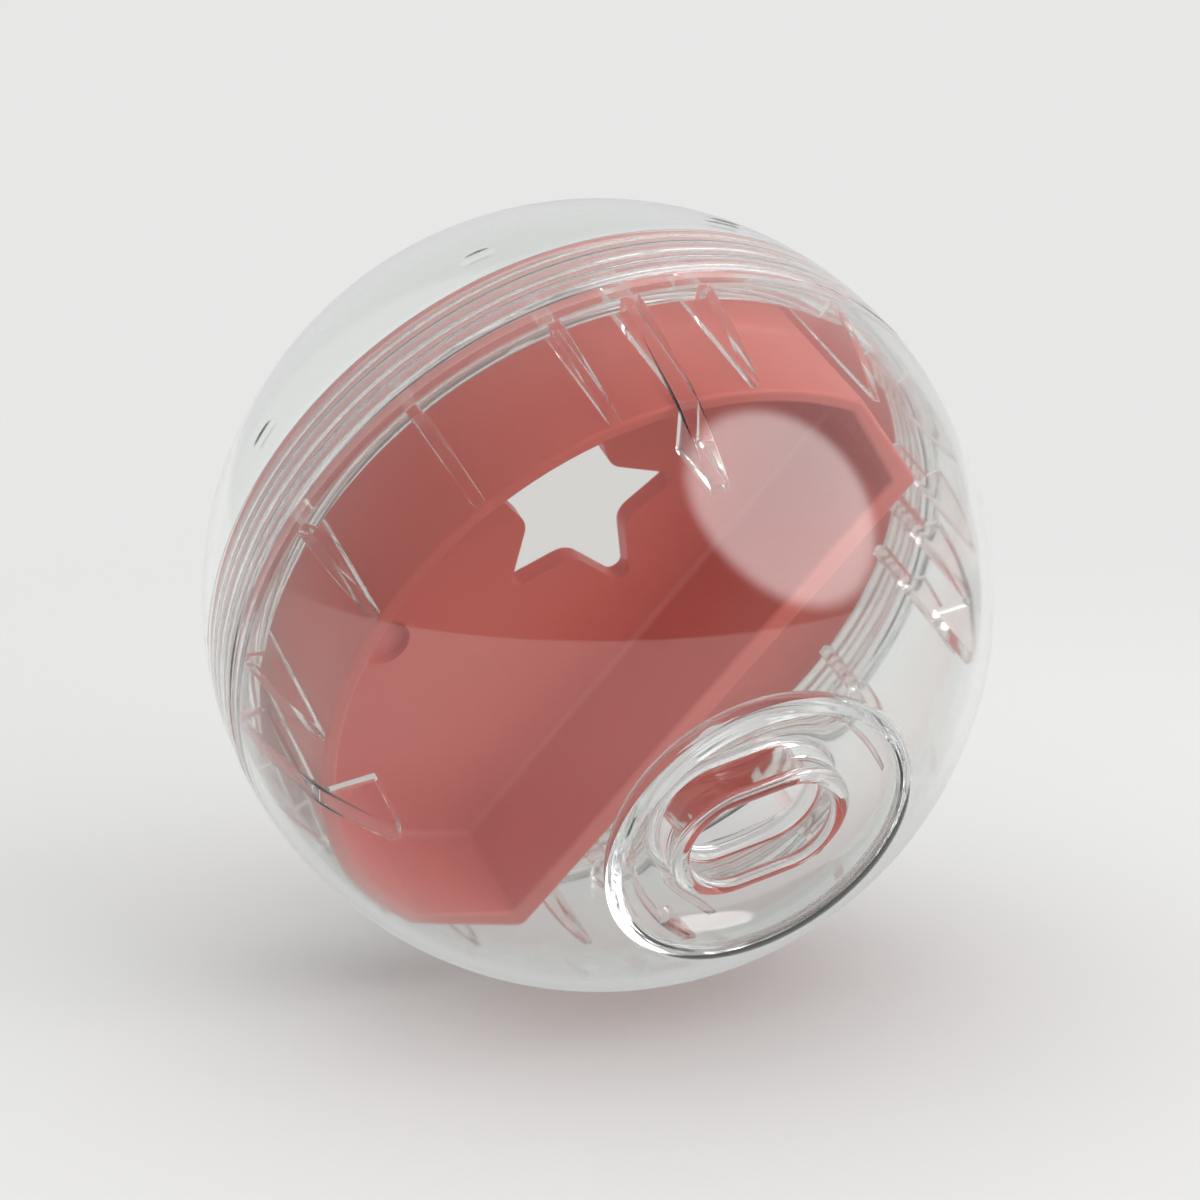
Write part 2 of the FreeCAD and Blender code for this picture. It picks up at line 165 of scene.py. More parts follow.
class BowlSizes(bpy.types.PropertyGroup):
    """Sizes of the half with the outlet."""
    neck_inner: length("Neck bore", "Inner radius of the neck", 57.5)
    neck_end: length("Neck reach", "How far the neck reaches past the ball's middle", 10.4)
    root: length("Thread root", "Radius at the root of the neck's thread", 58.85)
    crest: length("Thread crest", "Radius at the crest of the neck's thread", 59.75)
    flange_height: length("Flange height", "Height of the thick band above the shoulder", 2.2)
    land_radius: length("Land radius", "Outer radius of the flat ring round the dish", 24.0)
    land_width: length("Land width", "Width of the flat ring round the dish", 1.4)
    dish_drop: length("Dish drop", "Depth of the dish's straight edge", 0.6)
    dish_radius: length("Dish rounding", "Radius of the curved wall between the dish's rim and floor", 6.5)
    dish_wall: length("Dish wall", "Thickness of the dish", 2.0)
    hole_length: length("Outlet length", "Longer opening of the outlet", 23.0)
    hole_width: length("Outlet width", "Shorter opening of the outlet", 15.0)
    spout_wall: length("Spout wall", "Thickness of the spout", 3.0)
    lip_drop: length("Lip drop", "How far the spout's lip stays below the land", 0.2)
    lip_round: length("Lip rounding", "Rounding of the spout's lip", 1.3)
    foot_round: length("Foot rounding", "Rounding where the spout leaves the dish", 0.9)
    spout_turn: bearing("Spout turn", "Angle of the outlet's longer side", 16.4)
    edge: length("Outlet half edge", "Size of the small slants that break the outlet half's edges", 0.3)


class RibSizes(bpy.types.PropertyGroup):
    """Sizes of the ribs inside the outlet half."""
    ribs: count("Ribs", "Number of plain ribs", 16)
    thickness: length("Rib thickness", "Thickness of a plain rib", 1.9)
    inner: length("Rib bore", "Radius of the ribs' inner edges", 55.3)
    start: length("Rib start", "How far the ribs reach past the ball's middle", 4.0)
    posts: count("Posts", "Number of ribs with a ledge", 4)
    post_thickness: length("Post thickness", "Thickness of a rib with a ledge", 3.0)
    ledge: length("Ledge height", "Height at which the divider rests", 24.7)
    ledge_reach: length("Ledge reach", "How far a ledge reaches inwards", 8.1)
    foot_height: length("Ledge depth", "Depth of a ledge along the axis", 11.05)
    edge: length("Rib edge", "Rounding of the ribs' edges", 0.25)
    gap: length("Rib gap", "Gap between the ribs and the wall that carries them", 0.02)


class CapSizes(bpy.types.PropertyGroup):
    """Sizes of the plain half."""
    root: length("Thread root", "Radius at the root of the cap's thread", 60.15)
    crest: length("Thread crest", "Radius at the crest of the cap's thread", 59.25)
    marks: count("Finger marks", "Number of finger marks", 9)
    mark_turn: bearing("Mark turn", "Angle of the first finger mark", 35.4)
    mark_height: length("Mark height", "Distance of the marks from the ball's middle, along the axis", 15.6)
    mark_length: length("Mark length", "Length of a finger mark", 8.0)
    mark_width: length("Mark width", "Width of a finger mark", 3.0)
    mark_depth: length("Mark depth", "Depth of a finger mark", 0.12)
    mark_raise: share("Mark raise", "How far a mark's ellipsoid is raised, as a share of its height", 0.75)
    edge: length("Screw half edge", "Size of the small slants that break the mouth's edges", 0.25)
    bore_step: length("Bore step", "Width of the slant from the bore to the dome's lining", 0.3)


class Finishes(bpy.types.PropertyGroup):
    """Colours and finish of the plastics."""
    clear: tint("Clear plastic", "Tint of the clear halves", (0.93, 0.945, 0.935))
    clear_index: index("Clear index", "Refractive index of the clear halves", 1.57)
    clear_rough: share("Clear roughness", "Roughness of the clear halves", 0.03)
    clear_shadow: tint("Clear shadow", "Light that a clear skin lets through to what lies behind",
                       (0.955, 0.96, 0.955))
    haze: share("Haze", "Share of the light that the clear domes scatter", 0.004)
    thread_haze: share("Thread haze", "Share of the light that the threaded neck and mouth scatter", 0.05)
    # painted reflection: the ribs are clear, and this pink tint stands in for the coral divider mirrored in
    # them
    ribs: tint("Ribs with painted reflection", "Tint of the ribs, which pick up the divider's colour", (0.97, 0.89, 0.875))
    ribs_index: index("Rib index", "Refractive index of the ribs", 1.22)
    coral: tint("Coral plastic", "Colour of the divider", (0.78, 0.15, 0.118))
    coral_deep: tint("Deep coral", "Colour of the divider where it is a shade deeper", (0.72, 0.128, 0.10))
    coral_index: index("Coral index", "Refractive index of the divider's skin", 1.49)
    coral_smooth: share("Coral smoothness", "Roughness of the divider where it is smoothest", 0.30)
    coral_rough: share("Coral roughness", "Roughness of the divider where it is roughest", 0.46)


class StudioSettings(bpy.types.PropertyGroup):
    """Camera, floor, lamp, card and room."""
    camera_turn: bearing("Camera turn", "Bearing of the camera round the ball", -28.0)
    camera_lift: bearing("Camera lift", "Height of the camera above the horizon, as an angle", 12.0)
    camera_reach: length("Camera distance", "Distance from the camera to the ball's middle", 445.0)
    lens: bpy.props.FloatProperty(name="Lens", description="Focal length", default=84.0, unit="CAMERA")
    floor: tint("Floor", "Colour of the floor", (0.76, 0.76, 0.755))
    floor_reach: length("Floor radius", "Radius of the whole floor", 6000.0)
    backdrop: tint("Backdrop", "Colour seen behind the floor", (0.80, 0.80, 0.795))
    floor_near: length("Lit floor", "Reach of the floor that is lit like the ball", 160.0)
    floor_far: length("Blended floor", "Reach at which the floor has the backdrop's colour", 450.0)
    floor_mirrored: strength("Mirrored floor", "Brightness of the open floor in a polished surface", 0.85)
    floor_shaded: strength("Mirrored shade", "Brightness of the floor under the ball in a polished surface",
                           0.6)
    shade_near: length("Shade", "Reach of the mirrored shade at its full depth", 30.0)
    shade_far: length("Shade end", "Reach at which the mirrored shade has gone", 160.0)
    floor_through: share("Floor through plastic", "How far plastic shows the floor as pale as the backdrop",
                         0.6)
    light_pole: bpy.props.FloatVectorProperty(name="Light pole", subtype="DIRECTION", size=3,
                                              description="Where the soft light is strongest",
                                              default=(-0.4, 0.1, 0.9))
    ambient_low: strength("Low light", "Strength of the soft light away from the pole", 0.15)
    ambient_high: strength("High light", "Strength of the soft light at the pole", 1.15)
    key: strength("Key light", "Power of the large lamp, which stands where the card does", 5.4)
    key_reach: length("Key distance", "Distance from the large lamp to the ball's middle", 1100.0)
    key_width: length("Key width", "Longer size of the large lamp", 1100.0)
    key_height: length("Key height", "Shorter size of the large lamp", 800.0)
    shown_front: strength("Room in front", "Brightness of the room in front, in polished surfaces", 0.2)
    shown_back: strength("Room behind", "Brightness of the room behind, in polished surfaces", 0.72)
    card: strength("Card", "Brightness of the oval card in polished and clear things", 3.3)
    card_soft: share("Card edge", "Width of the card's soft edge, as a share of its radius", 0.22)
    card_turn: bearing("Card turn", "Bearing of the card round the ball", 33.7)
    card_lift: bearing("Card lift", "Height of the card above the horizon, as an angle", 28.0)
    card_tilt: bearing("Card tilt", "Turn of the card in its own plane", 42.0)
    card_reach: length("Card distance", "Distance from the card to the ball's middle", 1100.0)
    card_width: length("Card width", "Longer size of the card", 1320.0)
    card_height: length("Card height", "Shorter size of the card", 1040.0)


def screw_frame(turn=0.0):
    """The frame of the screw axis: Z points out through the outlet, and turn rotates the frame about Z."""
    across = Vector((1.0, 0.0, 0.0))
    side = OUTLET_WAY.cross(across)
    axes = Matrix((across, side, OUTLET_WAY)).transposed().to_4x4()
    return Matrix.Translation(BALL_MIDDLE) @ axes @ Matrix.Rotation(turn, 4, "Z")


def leg(hypotenuse, side):
    """The other leg of a right triangle."""
    return math.sqrt(hypotenuse * hypotenuse - side * side)


def smooth_step(value):
    value = min(max(value, 0.0), 1.0)
    return value * value * (3.0 - 2.0 * value)


def arc(centre, radius, start, end, steps):
    """Points (radius, height) along an arc of a half section, both ends included."""
    return [(centre[0] + radius * math.cos(start + (end - start) * i / steps),
             centre[1] + radius * math.sin(start + (end - start) * i / steps)) for i in range(steps + 1)]


def round_row(radius, height, steps):
    """One row of points round the axis. The last point closes the row on the first."""
    return [Vector((radius * math.cos(TURN * i / steps), radius * math.sin(TURN * i / steps), height))
            for i in range(steps + 1)]


def thread_rows(shell, root, crest, low, high, offset=0.0):
    """Rows of points up a screw thread between two heights. Each row climbs by one pitch in a turn, and the
    offset shifts them all by a share of the pitch."""
    steps = shell.steps_round
    first = math.floor((low - shell.pitch) / shell.pitch) - 1
    last = math.ceil(high / shell.pitch) + 1
    rows = []
    for turn in range(first, last):
        for place, height in THREAD_SHAPE:
            row = []
            for i in range(steps + 1):
                level = (turn + place + offset + i / steps) * shell.pitch
                level = min(max(level, low), high)
                fade = smooth_step((level - low) / shell.thread_fade)
                fade *= smooth_step((high - level) / shell.thread_fade)
                radius = root + (crest - root) * height * fade
                if low < level < high:
                    point = Vector((radius, 0.0, level))
                else:
                    point = Vector((root, 0.0, level))
                row.append(Matrix.Rotation(TURN * i / steps, 3, "Z") @ point)
            rows.append(row)
    return rows


def slot_row(straight, radius, offset, height, turn, steps):
    """One row of points along a racetrack, one in each direction from its middle, pushed out by offset."""
    row = []
    for i in range(steps + 1):
        angle = TURN * i / steps - turn
        way = Vector((math.cos(angle), math.sin(angle)))
        if abs(way.y) * straight > abs(way.x) * radius:
            point = way * (radius / abs(way.y))
            normal = Vector((0.0, math.copysign(1.0, way.y)))
        else:
            centre = Vector((math.copysign(straight, way.x), 0.0))
            middle = way.dot(centre)
            point = way * (middle + math.sqrt(middle * middle - straight * straight + radius * radius))
            normal = (point - centre).normalized()
        point = point + normal * offset
        point.rotate(Matrix.Rotation(turn, 2))
        row.append(Vector((point.x, point.y, height)))
    return row


def skin(name, rows, closed):
    """A mesh over rows of points in the screw's frame. A closed one joins its last row to its first."""
    place = screw_frame()
    wide = len(rows[0])
    points = [place @ point for row in rows for point in row]
    faces = []
    for i in range(len(rows) if closed else len(rows) - 1):
        below, above = i * wide, (i + 1) % len(rows) * wide
        faces += [(below + j, below + j + 1, above + j + 1, above + j) for j in range(wide - 1)]
    mesh = bpy.data.meshes.new(name)
    mesh.from_pydata(points, [], faces)
    weld(mesh)
    return add_object(name, mesh)


def weld(mesh):
    """Joins points that lie on each other, drops faces that this empties, and turns all faces outwards."""
    form = bmesh.new()
    form.from_mesh(mesh)
    bmesh.ops.remove_doubles(form, verts=form.verts, dist=TOUCHING)
    bmesh.ops.recalc_face_normals(form, faces=form.faces)
    form.to_mesh(mesh)
    form.free()


def add_object(name, data):
    made = bpy.data.objects.new(name, data)
    bpy.context.scene.collection.objects.link(made)
    return made


def add_form(name, form):
    """An object whose mesh is a finished bmesh."""
    mesh = bpy.data.meshes.new(name)
    form.to_mesh(mesh)
    form.free()
    return add_object(name, mesh)


def add_disc(name, radius, steps):
    """A flat round sheet of one face."""
    form = bmesh.new()
    bmesh.ops.create_circle(form, cap_ends=True, segments=steps, radius=radius)
    return add_form(name, form)


def cut_out(body, tool):
    """Cuts a tool solid out of a body, and removes the tool."""
    modifier = body.modifiers.new("cut", "BOOLEAN")
    modifier.operation = "DIFFERENCE"
    modifier.solver = "MANIFOLD"
    modifier.object = tool
    graph = bpy.context.evaluated_depsgraph_get()
    finished = bpy.data.meshes.new_from_object(body.evaluated_get(graph))
    if not finished.polygons:
        raise RuntimeError(f"nothing is left of {body.name}")
    body.modifiers.clear()
    body.data = finished
    finished.name = body.name
    bpy.data.objects.remove(tool)


def shade(made):
    """Smooth faces, with a crisp edge wherever two meet at more than the crease's angle."""
    made.data.shade_smooth()
    made.data.set_sharp_from_angle(angle=CREASE)


def dress(made, material, body, slot, *nodes):
    """Gives a piece its material and body, and hides the nodes that it stands for. The slot is not used."""
    made.data.materials.clear()
    made.data.materials.append(material)
    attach(made, body)
    if nodes:
        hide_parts(*nodes)


def plate_solid(name, outline, thickness, edge, places):
    """Upright plates of one outline (radius, height), one at each place, with small bevels on all edges."""
    form = bmesh.new()
    for place in places:
        rims = []
        for side in (-0.5, 0.5):
            rims.append([form.verts.new(place @ Vector((x, side * thickness, z))) for x, z in outline])
        form.faces.new(rims[0])
        form.faces.new(reversed(rims[1]))
        for i in range(len(outline)):
            k = (i + 1) % len(outline)
            form.faces.new((rims[0][i], rims[1][i], rims[1][k], rims[0][k]))
    bmesh.ops.recalc_face_normals(form, faces=form.faces)
    sharp = [line for line in form.edges if line.calc_face_angle(0.0) > BEVELLED]
    bmesh.ops.bevel(form, geom=sharp, offset=edge, segments=3, profile=0.5, affect="EDGES")
    return add_form(name, form)


def feed(tree, socket, value):
    """Gives a shader input a value, a colour or another node's output. A node stands for its first one."""
    if isinstance(value, bpy.types.NodeSocket):
        tree.links.new(value, socket)
    elif isinstance(value, bpy.types.Node):
        tree.links.new(value.outputs[0], socket)
    elif socket.type == "RGBA":
        socket.default_value = (*value, 1.0)
    else:
        socket.default_value = value


def node(tree, kind, *inputs, **values):
    """Adds a shader node, feeds its first inputs in order, and sets fields or feeds inputs by name."""
    made = tree.nodes.new(kind)
    for name, value in values.items():
        if hasattr(made, name):
            setattr(made, name, value)
        else:
            feed(tree, made.inputs[name.replace("_", " ")], value)
    for socket, value in zip(made.inputs, inputs):
        feed(tree, socket, value)
    return made


def eased(tree, value, low, high, start, end):
    """A value that runs smoothly from start to end while another goes from low to high."""
    return node(tree, "ShaderNodeMapRange", interpolation_type="SMOOTHSTEP", Value=value, From_Min=low,
                From_Max=high, To_Min=start, To_Max=end)


def two_tone(tree, value, low, high):
    """A colour that runs from low to high with a value."""
    mix = node(tree, "ShaderNodeMix", data_type="RGBA", Factor=value)
    feed(tree, mix.inputs[MIX_LOW], low)
    feed(tree, mix.inputs[MIX_HIGH], high)
    return mix.outputs[MIX_RESULT]


def new_material(name):
    """An empty material, its shader tree, and the spot on the object as an output there."""
    material = bpy.data.materials.new(name)
    material.use_nodes = True
    tree = material.node_tree
    tree.nodes.clear()
    return material, tree, node(tree, "ShaderNodeTexCoord").outputs["Object"]


def threaded_zone(tree, spot, scene, outside, inside):
    """A value that has its inside amount from the neck's end to the flange's top, and its outside amount
    elsewhere."""
    shell, bowl = scene.treatball_shell, scene.treatball_bowl
    flange_top = shell.shoulder + bowl.flange_height
    middle = screw_frame() @ Vector((0.0, 0.0, (flange_top - bowl.neck_end) / 2.0))
    off = node(tree, "ShaderNodeVectorMath", spot, middle, operation="SUBTRACT")
    along = node(tree, "ShaderNodeVectorMath", off, OUTLET_WAY, operation="DOT_PRODUCT").outputs["Value"]
    height = node(tree, "ShaderNodeMath", along, operation="ABSOLUTE")
    reach = (flange_top + bowl.neck_end) / 2.0
    return eased(tree, height, reach - HAZE_WITHIN, reach + HAZE_PAST, inside, outside)


def clear_moulding(name, colour, refraction, scene):
    """Clear moulded plastic with faint flow waves in its skin and a milky threaded zone. Lamps shine through
    it onto what is behind."""
    finishes = scene.treatball_finishes
    material, tree, spot = new_material(name)
    waves = node(tree, "ShaderNodeTexNoise", Vector=spot, Scale=28.0, Detail=2.0)
    grain = node(tree, "ShaderNodeTexNoise", Vector=spot, Scale=900.0, Detail=3.0)
    rough = node(tree, "ShaderNodeMapRange", Value=grain, To_Min=SMOOTHEST * finishes.clear_rough,
                 To_Max=ROUGHEST * finishes.clear_rough)
    bump = node(tree, "ShaderNodeBump", Height=waves, Strength=0.05, Distance=0.0004)
    passing = threaded_zone(tree, spot, scene, 1.0 - finishes.haze, 1.0 - finishes.thread_haze)
    plastic = node(tree, "ShaderNodeBsdfPrincipled", Base_Color=colour, IOR=refraction, Roughness=rough,
                   Normal=bump, Transmission_Weight=passing)
    passed = node(tree, "ShaderNodeBsdfTransparent", Color=finishes.clear_shadow)
    shadow = node(tree, "ShaderNodeLightPath").outputs["Is Shadow Ray"]
    surface = node(tree, "ShaderNodeMixShader", shadow, plastic, passed)
    node(tree, "ShaderNodeOutputMaterial", Surface=surface)
    return material


def clear_plastic(scene):
    finishes = scene.treatball_finishes
    return clear_moulding("clear_moulding", finishes.clear, finishes.clear_index, scene)


# clear plastic for the ribs, whose pink tint is a painted reflection of the coral divider
def rib_plastic_with_painted_reflection(scene):
    finishes = scene.treatball_finishes
    return clear_moulding("rib_moulding_with_painted_reflection", finishes.ribs, finishes.ribs_index, scene)


def coral_plastic(scene):
    """Opaque moulded plastic with a soft gloss, faint flow marks and a fine grain."""
    finishes = scene.treatball_finishes
    material, tree, spot = new_material("coral_moulding")
    flow = node(tree, "ShaderNodeTexNoise", Vector=spot, Scale=22.0, Detail=3.0, Distortion=0.6)
    grain = node(tree, "ShaderNodeTexNoise", Vector=spot, Scale=1400.0, Detail=3.0)
    colour = two_tone(tree, flow, finishes.coral_deep, finishes.coral)
    rough = node(tree, "ShaderNodeMapRange", Value=grain, To_Min=finishes.coral_smooth,
                 To_Max=finishes.coral_rough)
    bump = node(tree, "ShaderNodeBump", Height=grain, Strength=0.08, Distance=0.00004)
    plastic = node(tree, "ShaderNodeBsdfPrincipled", Base_Color=colour, IOR=finishes.coral_index,
                   Roughness=rough, Normal=bump)
    node(tree, "ShaderNodeOutputMaterial", Surface=plastic)
    return material


def material_for(name, maker, scene):
    """The material of that name, made when first asked for."""
    return bpy.data.materials.get(name) or maker(scene)


class Dish:
    """The dish's radii and heights in the half section, which its hollow, spout and underside share."""

    def __init__(self, shell, sizes):
        self.land = leg(shell.ball_radius, sizes.land_radius)
        self.rim = sizes.land_radius - sizes.land_width
        self.middle = (self.rim - sizes.dish_radius, self.land - sizes.dish_drop)
        self.floor = self.middle[1] - sizes.dish_radius
        self.under_radius = sizes.dish_radius + sizes.dish_wall
        self.under_floor = self.middle[1] - self.under_radius


def outside_rows(shell, sizes, dish):
    """The outlet half's outside, from the shoulder over the dome and the land to the dish's floor."""
    outer, edge = shell.ball_radius, sizes.edge
    start = math.asin(shell.shoulder / outer)
    end = math.acos(sizes.land_radius / outer)
    section = [(leg(outer, shell.shoulder) - edge, shell.shoulder)]
    section += arc((0.0, 0.0), outer, start + edge / outer, end - edge / outer, OUTLET_DOME_STEPS)
    section += [(sizes.land_radius - edge, dish.land), (dish.rim + edge, dish.land)]
    section += [(dish.rim, dish.land - edge)]
    section += arc(dish.middle, sizes.dish_radius, 0.0, -QUARTER, DISH_STEPS)
    return [round_row(radius, height, shell.steps_round) for radius, height in section]


def spout_rows(shell, sizes, dish):
    """The spout's foot, outer wall, lip and bore, each a racetrack that is pushed out from the bore."""
    foot, over, wall = sizes.foot_round, sizes.lip_round, sizes.spout_wall
    lip = dish.land - sizes.lip_drop
    radius = sizes.hole_width / 2.0
    straight = sizes.hole_length / 2.0 - radius
    section = arc((wall + foot, dish.floor + foot), foot, -QUARTER, -2.0 * QUARTER, FOOT_STEPS)
    section += arc((wall - over, lip - over), over, 0.0, QUARTER, LIP_STEPS)
    section += arc((over, lip - over), over, QUARTER, 2.0 * QUARTER, LIP_STEPS)
    section += [(0.0, dish.under_floor + sizes.edge), (sizes.edge, dish.under_floor)]
    return [slot_row(straight, radius, out, height, sizes.spout_turn, shell.steps_round)
            for out, height in section]


def inside_rows(shell, sizes, dish):
    """The dish's underside, the dome's lining, the flange, and the neck's bore and end."""
    inner, edge, neck = shell.ball_radius - shell.wall, sizes.edge, sizes.neck_inner
    flange_top = shell.shoulder + sizes.flange_height

    # the dish's underside meets the dome's lining where their two circles cross
    across_dish, up_dish = dish.middle
    reach = math.hypot(across_dish, up_dish)
    along = (inner ** 2 - dish.under_radius ** 2 + reach ** 2) / (2.0 * reach)
    across = leg(inner, along)
    meet = ((across_dish * along + up_dish * across) / reach,
            (up_dish * along - across_dish * across) / reach)

    section = arc(dish.middle, dish.under_radius, -QUARTER,
                  math.atan2(meet[1] - up_dish, meet[0] - across_dish), UNDERSIDE_STEPS)
    section += arc((0.0, 0.0), inner, math.atan2(meet[1], meet[0]), math.asin(flange_top / inner),
                   OUTLET_LINING_STEPS)[1:]
    section += [(neck + edge, flange_top), (neck, flange_top - edge), (neck, edge - sizes.neck_end),
                (neck + edge, -sizes.neck_end), (sizes.root - 2.0 * edge, -sizes.neck_end)]
    return [round_row(radius, height, shell.steps_round) for radius, height in section]


class TREATBALL_OT_bowl(bpy.types.Operator):
    """Builds the outlet half's shell: dome, dish, spout and threaded neck"""
    bl_idname = "treatball.bowl"
    bl_label = "Outlet half"

    def execute(self, context):
        scene = context.scene
        shell, sizes = scene.treatball_shell, scene.treatball_bowl
        dish = Dish(shell, sizes)
        rows = outside_rows(shell, sizes, dish)
        rows += spout_rows(shell, sizes, dish)
        rows += inside_rows(shell, sizes, dish)
        neck_start = 2.0 * sizes.edge - sizes.neck_end
        rows += thread_rows(shell, sizes.root, sizes.crest, neck_start, shell.shoulder)
        bowl = skin("clear_outlet_half", rows, True)
        shade(bowl)
        material = material_for("clear_moulding", clear_plastic, scene)
        dress(bowl, material, "bowl", "clear_plastic", "outlet_bowl")
        return {"FINISHED"}


class TREATBALL_OT_ribs(bpy.types.Operator):
    """Builds the ribs and posts that guide and carry the divider"""
    bl_idname = "treatball.ribs"
    bl_label = "Ribs and posts"

    def execute(self, context):
        scene = context.scene
        shell, sizes, ribs = scene.treatball_shell, scene.treatball_bowl, scene.treatball_ribs
        reach = shell.ball_radius - shell.wall - ribs.gap
        flange_top = shell.shoulder + sizes.flange_height + ribs.gap
        neck = sizes.neck_inner - ribs.gap

        def plate_outline(end):
            """The foot against the neck, the step over the flange, and the back against the dome."""
            low, high = math.asin(flange_top / reach), math.asin(end / reach)
            back = arc((0.0, 0.0), reach, low, high, RIB_BACK_STEPS)
            return [(ribs.inner, -ribs.start), (neck, -ribs.start), (neck, flange_top), *back]

        places = [screw_frame(TURN * i / ribs.ribs) for i in range(ribs.ribs)]
        plain = plate_outline(leg(reach, ribs.inner))
        plates = plate_solid("clear_ribs", plain, ribs.thickness, ribs.edge, places)

        foot_end = ribs.ledge + ribs.foot_height
        foot = [(ribs.inner - ribs.ledge_reach, foot_end), (ribs.inner - ribs.ledge_reach, ribs.ledge),
                (ribs.inner, ribs.ledge)]
        half_step = TURN / (2.0 * ribs.ribs)
        places = [screw_frame(TURN * i / ribs.posts + half_step) for i in range(ribs.posts)]
        ledged = plate_outline(foot_end) + foot
        posts = plate_solid("clear_posts", ledged, ribs.post_thickness, ribs.edge, places)
        material = material_for("rib_moulding_with_painted_reflection", rib_plastic_with_painted_reflection, scene)
        for made in (plates, posts):
            shade(made)
            dress(made, material, "bowl", "clear_plastic")
        return {"FINISHED"}


def mark_cutters(shell, sizes):
    """The ellipsoids that cut the finger marks. Each is raised off the skin by a share of its height, so that
    only its shallow foot cuts."""
    wide = leg(1.0, sizes.mark_raise)
    thick = sizes.mark_depth / (1.0 - sizes.mark_raise)
    lift = Matrix.Translation((0.0, 0.0, sizes.mark_raise * thick))
    size = Matrix.Diagonal((sizes.mark_width / 2.0 / wide, sizes.mark_length / 2.0 / wide, thick, 1.0))
    spot = Vector((leg(shell.ball_radius, sizes.mark_height), 0.0, -sizes.mark_height))
    facing = spot.to_track_quat("Z", "X").to_matrix().to_4x4()
    form = bmesh.new()
    for i in range(sizes.marks):
        turned = screw_frame(sizes.mark_turn + TURN * i / sizes.marks)
        bmesh.ops.create_uvsphere(form, u_segments=MARK_STEPS, v_segments=MARK_STEPS, radius=1.0,
                                  matrix=turned @ Matrix.Translation(spot) @ facing @ lift @ size)
    return add_form("marks", form)


class TREATBALL_OT_cap(bpy.types.Operator):
    """Builds the screw half: dome, threaded mouth and finger marks"""
    bl_idname = "treatball.cap"
    bl_label = "Screw half"

    def execute(self, context):
        scene = context.scene
        shell, sizes = scene.treatball_shell, scene.treatball_cap
        outer, edge = shell.ball_radius, sizes.edge
        inner = outer - shell.wall
        start = math.asin(shell.mouth / outer)
        section = [(0.0, -outer)]
        section += arc((0.0, 0.0), outer, -QUARTER, start - edge / outer, SCREW_DOME_STEPS)[1:]
        section += [(leg(outer, shell.mouth) - edge, shell.mouth), (sizes.root + edge, shell.mouth)]
        rows = [round_row(radius, height, shell.steps_round) for radius, height in section]

        # the thread climbs half a pitch off the neck's, so that its crests stand in the neck's roots
        bore_end = leg(inner, (sizes.root + sizes.crest) / 2.0)
        thread = thread_rows(shell, sizes.root, sizes.crest, -bore_end, shell.mouth - edge, offset=0.5)
        rows += reversed(thread)
        lining_start = math.asin(-bore_end / inner) - sizes.bore_step / inner
        section = arc((0.0, 0.0), inner, lining_start, -QUARTER, SCREW_LINING_STEPS)
        section[-1] = (0.0, -inner)
        rows += [round_row(radius, height, shell.steps_round) for radius, height in section]
        cap = skin("clear_screw_half", rows, False)
        cut_out(cap, mark_cutters(shell, sizes))
        shade(cap)
        material = material_for("clear_moulding", clear_plastic, scene)
        dress(cap, material, "cap", "clear_plastic", "screw_cap")
        return {"FINISHED"}


class TREATBALL_OT_divider(bpy.types.Operator):
    """Gives the divider its coral plastic"""
    bl_idname = "treatball.divider"
    bl_label = "Divider"

    def execute(self, context):
        divider = frame["nodes"]["divider"]
        material = material_for("coral_moulding", coral_plastic, context.scene)
        divider.data.materials.clear()
        divider.data.materials.append(material)
        return {"FINISHED"}


def away(turn, lift):
    """The direction at that bearing round the ball and that angle above the horizon."""
    return Vector((math.sin(turn) * math.cos(lift), -math.cos(turn) * math.cos(lift), math.sin(lift)))


def aim(made, spot, target):
    made.location = spot
    made.rotation_euler = (target - spot).to_track_quat("-Z", "Y").to_euler()


def key_softbox(studio):
    """The large lamp. It lights the ball, and isn't seen in it, where the card takes its place."""
    lamp = bpy.data.lights.new("key_softbox", "AREA")
    lamp.shape = "RECTANGLE"
    lamp.size, lamp.size_y = studio.key_width, studio.key_height
    lamp.energy = studio.key
    key = add_object("key_softbox", lamp)
    aim(key, BALL_MIDDLE + studio.key_reach * away(studio.card_turn, studio.card_lift), BALL_MIDDLE)
    key.visible_glossy = False
    key.visible_transmission = False


